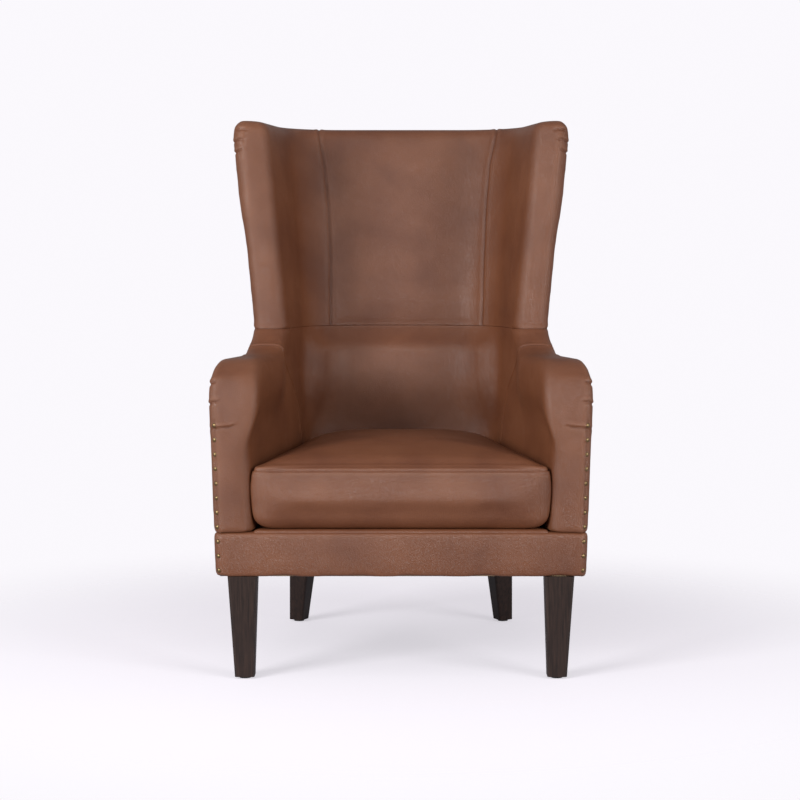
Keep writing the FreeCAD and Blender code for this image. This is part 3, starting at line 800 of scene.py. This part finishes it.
def buildDeck():
    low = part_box("deck_pad")[0][2]
    high = chair["deck"]
    edge = deck["edge"]
    rings = []
    for z, inset in ((low, edge), (low + edge * 0.5, 0.002),
                     (high - edge, 0.0), (high - edge * 0.35, 0.0018), (high, edge),
                     (high, 0.02), (high - 0.001, 0.06), (high - deck["sink"], 0.16)):
        half = halfWidth(low) - (chair["wall"] + deck["clear"] + inset) / toeCos
        back = chair["seatDepth"] - deck["clear"] - inset
        front = deck["front"] + inset
        toe = chair["toeIn"]
        right = [(half - toe * front, front, 0.004), (half - toe * back, back, innerCorner(low))]
        rings.append(atHeight(roundedRing(bothHalves(right)), z))
    piece = ringSolid("seatPlatform", rings)
    finishPiece(piece, outsideLeather, "chair", ["deck_cover", "deck_pad"])
    print("seat platform")


# Loose seat cushion

cushion = {
    "seam": 0.406,
    "crown": 0.036,
    "rearRise": 0.012,
    "frontCorner": 0.030,
    "rearCorner": 0.078,
    "clear": 0.0012,
    "front": -0.003,
    "under": 0.030,
    "frontBulge": 0.009,
    "voxel": 0.005,
    "cloth": {"quality": 5, "mass": 0.4, "tension_stiffness": 18.0, "compression_stiffness": 18.0,
              "bending_stiffness": 1.5, "use_pressure": True, "uniform_pressure_force": 4.0},
    "clothSteps": 20,
    "mostSwell": 0.007,
    "seamWidth": 0.0022,
    "seamDepth": 0.0034,
    "ridge": (0.0060, 0.0040, 0.0024),
}


def cushionPlan(z, inset, bow=0.0):
    zWall = max(z, chair["deck"] + 0.02)
    half = halfWidth(zWall) - (chair["wall"] + cushion["clear"] + inset) / toeCos
    half = min(half, halfWidth(chair["deck"] + 0.05) - (chair["wall"] + inset) / toeCos)
    back = insideBack(chair["deck"]) - cushion["clear"] - inset
    front = cushion["front"] + inset - bow
    toe = chair["toeIn"]
    right = [(half - toe * front, front, max(cushion["frontCorner"] - inset * 0.4, 0.012)),
             (half - toe * back, back, max(cushion["rearCorner"] - inset * 0.5, 0.015))]
    return roundedRing(bothHalves(right))


def crownHeight(y, inset):
    rise = cushion["crown"] * (1.0 - (1.0 - np.clip(inset / 0.235, 0.0, 1.0)) ** 2.3)
    return rise + cushion["rearRise"] * np.clip((y - 0.10) / 0.30, 0.0, 1.0)


def buildCushion():
    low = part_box("cushion_cover")[0][2]
    seam = cushion["seam"]
    under = cushion["under"]
    rings = []
    for angle in (0.0, 22.0, 45.0, 67.0, 90.0):
        turn = math.radians(angle)
        z = low + under * (1.0 - math.cos(turn))
        inset = under * (1.0 - math.sin(turn)) * 0.85
        rings.append(atHeight(cushionPlan(z, inset), z))
    for share in (0.4, 0.6, 0.8, 1.0):
        z = low + under + (seam - low - under) * share
        bow = 0.003 * math.sin(math.pi * share)
        rings.append(atHeight(cushionPlan(z, 0.0, bow), z))
    for inset in (0.004, 0.012, 0.03, 0.06, 0.10, 0.15, 0.20):
        plan = cushionPlan(seam, inset)
        rings.append([(x, chair["front"] + y, seam + float(crownHeight(y, inset))) for x, y in plan])
    piece = ringSolid("seatCushion", rings)
    remesh(piece, cushion["voxel"])
    relax(piece, 3)
    points = readPoints(piece)
    y = points[:, 1] - chair["front"]
    ends = np.exp(-((y - 0.006) / 0.016) ** 2) * smooth(0.20, 0.27, np.abs(points[:, 0]))
    points[:, 0] += np.sign(points[:, 0]) * cushion["frontBulge"] * ends
    writePoints(piece, points)
    swellCushion(piece)
    subdivide(piece)
    carveCushion(piece)
    markWearAndShade(piece)
    finishPiece(piece, leather, "seat_cushion", ["cushion_cover", "cushion_core"])
    print("seat cushion")


def swellCushion(piece):
    start = readPoints(piece)
    useAlone(piece)
    cloth = piece.modifiers.new("swell", "CLOTH")
    for key, value in cushion["cloth"].items():
        setattr(cloth.settings, key, value)
    cloth.settings.effector_weights.gravity = 0.0
    cloth.collision_settings.use_collision = False
    for step in range(1, cushion["clothSteps"] + 1):
        bpy.context.scene.frame_set(step)
    bpy.ops.object.modifier_apply(modifier="swell")
    bpy.context.scene.frame_set(1)
    moved = averaged(piece, readPoints(piece) - start, 12)
    length = np.linalg.norm(moved, axis=1)
    most = cushion["mostSwell"]
    kept = most * np.tanh(length / most) / np.maximum(length, 1e-9)
    # the walls on three sides and the platform hold the cushion in
    top = smooth(0.37, 0.41, start[:, 2])
    front = smooth(0.03, 0.0, start[:, 1] - chair["front"])
    free = np.clip(top + front, 0.0, 1.0)
    moved = moved * kept[:, None]
    moved[:, 0] *= 0.25 + 0.75 * front
    moved[:, 2] = np.where(moved[:, 2] < 0.0, moved[:, 2] * 0.1, moved[:, 2])
    writePoints(piece, start + moved * free[:, None])


def carveCushion(piece):
    points, normals = readPoints(piece), readNormals(piece)
    sideways = smooth(0.15, 0.5, np.hypot(normals[:, 0], normals[:, 1]))
    height = points[:, 2] - cushion["seam"] + 0.001
    amount = groove(height, cushion["seamWidth"], cushion["seamDepth"])
    amount += ridge(height, *cushion["ridge"])
    corner = np.exp(-((np.abs(points[:, 0]) - 0.276) / 0.020) ** 2)
    corner = corner * smooth(0.06, 0.02, points[:, 1] - chair["front"])
    for offset in (0.008, -0.006):
        amount += corner * groove(height - offset, 0.0022, 0.0016)
    pushOut(piece, amount * sideways)


wholeShell = joinedShell()
buildWings(wholeShell)
buildLower(wholeShell)
bpy.data.objects.remove(wholeShell)
buildBorder()
buildDeck()
buildCushion()


# Stitches and nails

stitch = {
    "pitch": 0.0046,
    "length": 0.0027,
    "width": 0.0010,
    "height": 0.0007,
}


def threadMaterial():
    material, tree, shader = newMaterial("waxedThread")
    place = addNode(tree, "TexCoord")
    twist = addNode(tree, "TexNoise", {"Scale": 1500.0})
    ramp = addRamp(tree, (0.020, 0.010, 0.007), (0.070, 0.032, 0.020))
    wire(tree, (place, "Object", twist, "Vector"), (twist, "Fac", ramp, "Fac"),
         (ramp, "Color", shader, "Base Color"))
    shader.inputs["Roughness"].default_value = 0.6
    return material


thread = threadMaterial()


def surfacePoint(piece, start, direction):
    hit, place, normal, _ = piece.ray_cast(Vector(start), Vector(direction).normalized())
    return (place, normal) if hit else (None, None)


def stitchRow(places, vertices, faces):
    # one flat lozenge for each stitch, on the leather and along the row
    for (place, normal), (after, _) in zip(places, places[1:]):
        step = after - place
        if step.length < 1e-5 or step.length > 0.05:
            continue
        along = step.normalized()
        across = normal.cross(along).normalized()
        count = max(1, round(step.length / stitch["pitch"]))
        for k in range(count):
            centre = place + step * ((k + 0.5) / count)
            first = len(vertices)
            a, b = along * stitch["length"] / 2.0, across * stitch["width"] / 2.0
            up = normal * stitch["height"]
            for offset in (a, b, -a, -b):
                vertices.append(centre + offset - up)
            for offset in (a * 0.5, b * 0.6, -a * 0.5, -b * 0.6):
                vertices.append(centre + offset + up * 0.6)
            for i in range(4):
                j = (i + 1) % 4
                faces.append((first + i, first + j, first + 4 + j, first + 4 + i))
            faces.append((first + 3, first + 2, first + 1, first))
            faces.append((first + 4, first + 5, first + 6, first + 7))


def rowPiece(name, vertices, faces, body):
    mesh = bpy.data.meshes.new(name)
    mesh.from_pydata([tuple(v) for v in vertices], [], faces)
    piece = bpy.data.objects.new(name, mesh)
    bpy.context.collection.objects.link(piece)
    piece.data.materials.append(thread)
    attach(piece, body)


def stitchBack():
    piece = bpy.data.objects["wingsAndBack"]
    vertices, faces = [], []
    for side, offset in (("seamLeft", -0.0065), ("seamRight", 0.0065)):
        line = np.array(shell[side])
        places = []
        for z in np.arange(chair["waist"] + 0.012, chair["crown"] - 0.012, stitch["pitch"]):
            x = float(np.interp(z, line[:, 1], line[:, 0])) + offset
            place, normal = surfacePoint(piece, (x, chair["front"] + 0.2, z), (0.0, 1.0, 0.0))
            if place:
                places.append((place, normal))
        stitchRow(places, vertices, faces)
    rowPiece("backStitches", vertices, faces, "chair")


def stitchCushion():
    piece = bpy.data.objects["seatCushion"]
    vertices, faces = [], []
    centre = Vector((0.0, chair["front"] + 0.25, cushion["seam"] - 0.0055))
    places = []
    for angle in np.linspace(-0.78 * math.pi, 0.78 * math.pi, 330):
        way = Vector((math.sin(angle), -math.cos(angle), 0.0))
        place, normal = surfacePoint(piece, centre + way * 0.6, -way)
        if place:
            places.append((place, normal))
    stitchRow(places, vertices, faces)
    rowPiece("cushionStitches", vertices, faces, "seat_cushion")


stitchBack()
stitchCushion()
print("stitches")


def nailHead():
    # a low dome, flat underneath
    bpy.ops.object.select_all(action="DESELECT")
    bpy.ops.mesh.primitive_uv_sphere_add(segments=12, ring_count=8, radius=nail["radius"])
    head = bpy.context.active_object
    bpy.ops.object.mode_set(mode="EDIT")
    bpy.ops.mesh.select_all(action="SELECT")
    bpy.ops.mesh.bisect(plane_co=(0.0, 0.0, 0.0001), plane_no=(0.0, 0.0, 1.0),
                        use_fill=True, clear_inner=True)
    bpy.ops.mesh.select_all(action="SELECT")
    flatter = nail["rise"] / nail["radius"]
    bpy.ops.transform.resize(value=(1.0, 1.0, flatter), center_override=(0.0, 0.0, 0.0))
    bpy.ops.object.mode_set(mode="OBJECT")
    return head


def nailLines():
    # rows on the right outside panel, as (y, z) lines just inside its edge
    edge = nail["edge"]
    low, high = chair["foot"] + 0.012, chair["crown"] - chair["crownPanel"] - edge
    start = chair["returnWidth"] + edge + 0.01
    row = [(y, armTop(y) - chair["armPanel"] - edge) for y in np.linspace(start, 0.30, 12)]
    corner = chair["waist"] - chair["waistPanel"] - edge
    row += [(wingEdge(corner) + chair["returnWidth"] + edge, corner + 0.004),
            (wingEdge(high) + chair["returnWidth"] + edge, high)]
    turn = math.pi / 2.0 - math.atan(chair["toeIn"])
    reach = chair["outerCorner"] * math.tan(turn / 2.0) * toeCos + 0.008
    row += [(outsideBack(high) - reach - edge, high),
            (outsideBack(chair["waist"]) - reach - edge, chair["waist"]),
            (outsideBack(low) - reach - edge, low)]
    return row


def alongLine(line, pitch):
    line = np.array(line)
    lengths = np.linalg.norm(np.diff(line, axis=0), axis=1)
    done = np.concatenate([[0.0], np.cumsum(lengths)])
    count = int(done[-1] / pitch)
    spots = (np.arange(count) + 0.5) * done[-1] / count
    return np.column_stack([np.interp(spots, done, line[:, k]) for k in range(line.shape[1])])


def nailPlaces():
    # spots with the way they face: along the outside panels, and down the front corners
    spots = []
    for side in (1.0, -1.0):
        normal = Vector((side, chair["toeIn"], -0.03)).normalized()
        for y, z in alongLine(nailLines(), nail["pitch"]):
            x = halfWidth(z) - chair["toeIn"] * y - 0.0003
            spots.append((Vector((side * x, chair["front"] + y, z)), normal))
        for z in np.arange(chair["foot"] + 0.012, 0.50, nail["pitch"]):
            onBorder = z < chair["border"] + 0.003
            piece = bpy.data.objects["frontBorder" if onBorder else "armsAndLowerBack"]
            x = float(np.interp(z, *nail["frontLine"]))
            place, facing = surfacePoint(piece, (side * x, chair["front"] - 0.2, z), (0.0, 1.0, 0.0))
            if place:
                spots.append((place, facing))
    return spots


def placeNails():
    head = nailHead()
    heads = []
    for place, normal in nailPlaces():
        copy = head.copy()
        copy.data = head.data.copy()
        copy.data.transform(normal.to_track_quat("Z", "Y").to_matrix().to_4x4())
        copy.data.transform(Matrix.Translation(place))
        bpy.context.collection.objects.link(copy)
        heads.append(copy)
    bpy.data.objects.remove(head)
    piece = joined("nailHeads", heads)
    piece.data.materials.clear()
    piece.data.materials.append(nailMetal())
    smoothShade(piece)
    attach(piece, "chair")


def nailMetal():
    material, tree, shader = newMaterial("antiqueBrass")
    place = addNode(tree, "TexCoord")
    tarnish = addNode(tree, "TexNoise", {"Scale": 420.0, "Detail": 4.0})
    ramp = addRamp(tree, (0.07, 0.042, 0.020), (0.34, 0.23, 0.11))
    rough = addNode(tree, "MapRange", {"To Min": 0.52, "To Max": 0.30})
    wire(tree, (place, "Object", tarnish, "Vector"), (tarnish, "Fac", ramp, "Fac"),
         (tarnish, "Fac", rough, "Value"), (ramp, "Color", shader, "Base Color"),
         (rough, "Result", shader, "Roughness"))
    shader.inputs["Metallic"].default_value = 0.9
    return material


placeNails()
print("nails")


# Wood, cloth and metal on the pieces that keep their solid shape

def plainMaterial(name, dark, light, scale, rough, metal=0.0, stretch=(1.0, 1.0, 1.0), bumpDepth=0.0):
    material, tree, shader = newMaterial(name)
    place = addNode(tree, "TexCoord")
    mapping = addNode(tree, "Mapping", {"Scale": stretch})
    noise = addNode(tree, "TexNoise", {"Scale": scale, "Detail": 6.0, "Roughness": 0.6})
    ramp = addRamp(tree, dark, light, 0.35, 0.68)
    uneven = addNode(tree, "MapRange", {"To Min": rough - 0.08, "To Max": rough + 0.08})
    wire(tree, (place, "Object", mapping, "Vector"), (mapping, "Vector", noise, "Vector"),
         (noise, "Fac", ramp, "Fac"), (noise, "Fac", uneven, "Value"),
         (ramp, "Color", shader, "Base Color"), (uneven, "Result", shader, "Roughness"))
    shader.inputs["Metallic"].default_value = metal
    if bumpDepth:
        bump = addNode(tree, "Bump", {"Strength": 0.4, "Distance": bumpDepth})
        wire(tree, (noise, "Fac", bump, "Height"), (bump, "Normal", shader, "Normal"))
    return material


grainAlong = (1.0, 1.0, 0.06)
finishes = {
    "leg_wood": plainMaterial("espressoWood", (0.012, 0.0065, 0.005), (0.034, 0.017, 0.012), 260.0, 0.36,
                              stretch=grainAlong, bumpDepth=0.0002),
    "frame_timber": plainMaterial("sawnBeech", (0.42, 0.27, 0.14), (0.62, 0.44, 0.26), 140.0, 0.7,
                                  stretch=(0.08, 1.0, 1.0), bumpDepth=0.0003),
    "webbing": plainMaterial("juteWebbing", (0.24, 0.17, 0.09), (0.45, 0.34, 0.20), 900.0, 0.9,
                             bumpDepth=0.0006),
    "cambric": plainMaterial("blackCambric", (0.010, 0.010, 0.011), (0.030, 0.030, 0.032), 1400.0, 0.92,
                             bumpDepth=0.0003),
    "glide_plastic": plainMaterial("nylonGlide", (0.035, 0.032, 0.030), (0.060, 0.056, 0.052), 500.0, 0.5),
    "bolt_steel": plainMaterial("zincedSteel", (0.42, 0.42, 0.40), (0.60, 0.60, 0.58), 300.0, 0.35,
                                metal=1.0),
    "zip_tape": plainMaterial("zipTape", (0.025, 0.013, 0.009), (0.06, 0.03, 0.02), 1200.0, 0.85,
                              bumpDepth=0.0004),
    "zip_metal": plainMaterial("zipBrass", (0.16, 0.10, 0.045), (0.45, 0.31, 0.14), 300.0, 0.35, metal=0.95),
    "outside_leather": outsideLeather,
}


def dressNodes():
    slots = {part["node"]: part["material_slot"] for part in frame["record"]["subparts"]}
    for name, node in frame["nodes"].items():
        material = finishes.get(slots[name])
        if material is None:
            continue
        node.data.materials.clear()
        node.data.materials.append(material)


dressNodes()
print("frame pieces dressed")


# Floor, light and camera

studio = {
    "floor": 6.0,
    "white": (0.962, 0.942, 0.980),
    "world": 0.26,
    "glossy": 0.30,
    "floorGlow": 0.58,
    "floorClear": (0.5, 1.5),
    "key": (-2.8, -3.0, 1.6, 1.6, 158.0),
    "fill": (2.9, -2.9, 1.4, 1.8, 100.0),
    "top": (-0.3, -1.6, 3.4, 2.4, 18.0),
    "cameraHeight": 0.806,
    "cameraDistance": 3.70,
    "pitch": 4.1,
    "lens": 87.44,
    "aside": 0.0012,
}


def buildFloor():
    # fades into the white surround, and glows a little so that shadows stay pale
    bpy.ops.object.select_all(action="DESELECT")
    bpy.ops.mesh.primitive_plane_add(size=studio["floor"], location=(0.0, 0.0, 0.0))
    floor = bpy.context.active_object
    floor.name = "floor"
    material, tree, shader = newMaterial("floorWhite")
    for socket, value in (("Base Color", (0.48, 0.46, 0.49, 1.0)), ("Roughness", 0.9),
                          ("Specular IOR Level", 0.0), ("Emission Color", (0.93, 0.90, 0.96, 1.0))):
        shader.inputs[socket].default_value = value
    path = addNode(tree, "LightPath")
    glow = addNode(tree, "Math", {1: studio["floorGlow"]}, operation="MULTIPLY")
    place = addNode(tree, "TexCoord")
    distance = addNode(tree, "VectorMath", operation="LENGTH")
    near, far = studio["floorClear"]
    clear = addNode(tree, "MapRange", {"From Min": far, "From Max": near},
                    interpolation_type="SMOOTHSTEP")
    wire(tree, (path, "Is Camera Ray", glow, 0), (glow, "Value", shader, "Emission Strength"),
         (place, "Object", distance, 0), (distance, "Value", clear, "Value"),
         (clear, "Result", shader, "Alpha"))
    floor.data.materials.append(material)


def buildWorld():
    world = bpy.data.worlds.new("studio")
    bpy.context.scene.world = world
    world.use_nodes = True
    tree = world.node_tree
    background = tree.nodes["Background"]
    background.inputs["Color"].default_value = (*studio["white"], 1.0)
    path = addNode(tree, "LightPath")
    reflected = addNode(tree, "MapRange", {"To Min": studio["world"], "To Max": studio["glossy"]})
    seen = addNode(tree, "Math", operation="MAXIMUM")
    wire(tree, (path, "Is Glossy Ray", reflected, "Value"), (path, "Is Camera Ray", seen, 0),
         (reflected, "Result", seen, 1), (seen, "Value", background, "Strength"))


def buildLights():
    for name in ("key", "fill", "top"):
        x, y, z, size, power = studio[name]
        data = bpy.data.lights.new(name, "AREA")
        data.shape = "SQUARE"
        data.size = size
        data.energy = power
        lamp = bpy.data.objects.new(name, data)
        bpy.context.collection.objects.link(lamp)
        lamp.location = (x, y, z)
        lamp.rotation_euler = (Vector((0.0, 0.0, 0.6)) - lamp.location).to_track_quat("-Z", "Y").to_euler()


def buildCamera():
    data = bpy.data.cameras.new("camera")
    data.lens = studio["lens"]
    data.sensor_width = 36.0
    data.shift_x = -studio["aside"]
    camera = bpy.data.objects.new("camera", data)
    bpy.context.collection.objects.link(camera)
    camera.location = (0.0, chair["front"] - studio["cameraDistance"], studio["cameraHeight"])
    camera.rotation_euler = (math.radians(90.0 - studio["pitch"]), 0.0, 0.0)
    bpy.context.scene.camera = camera


buildFloor()
buildWorld()
buildLights()
buildCamera()
bpy.context.scene.view_settings.view_transform = "Standard"
print("studio ready")
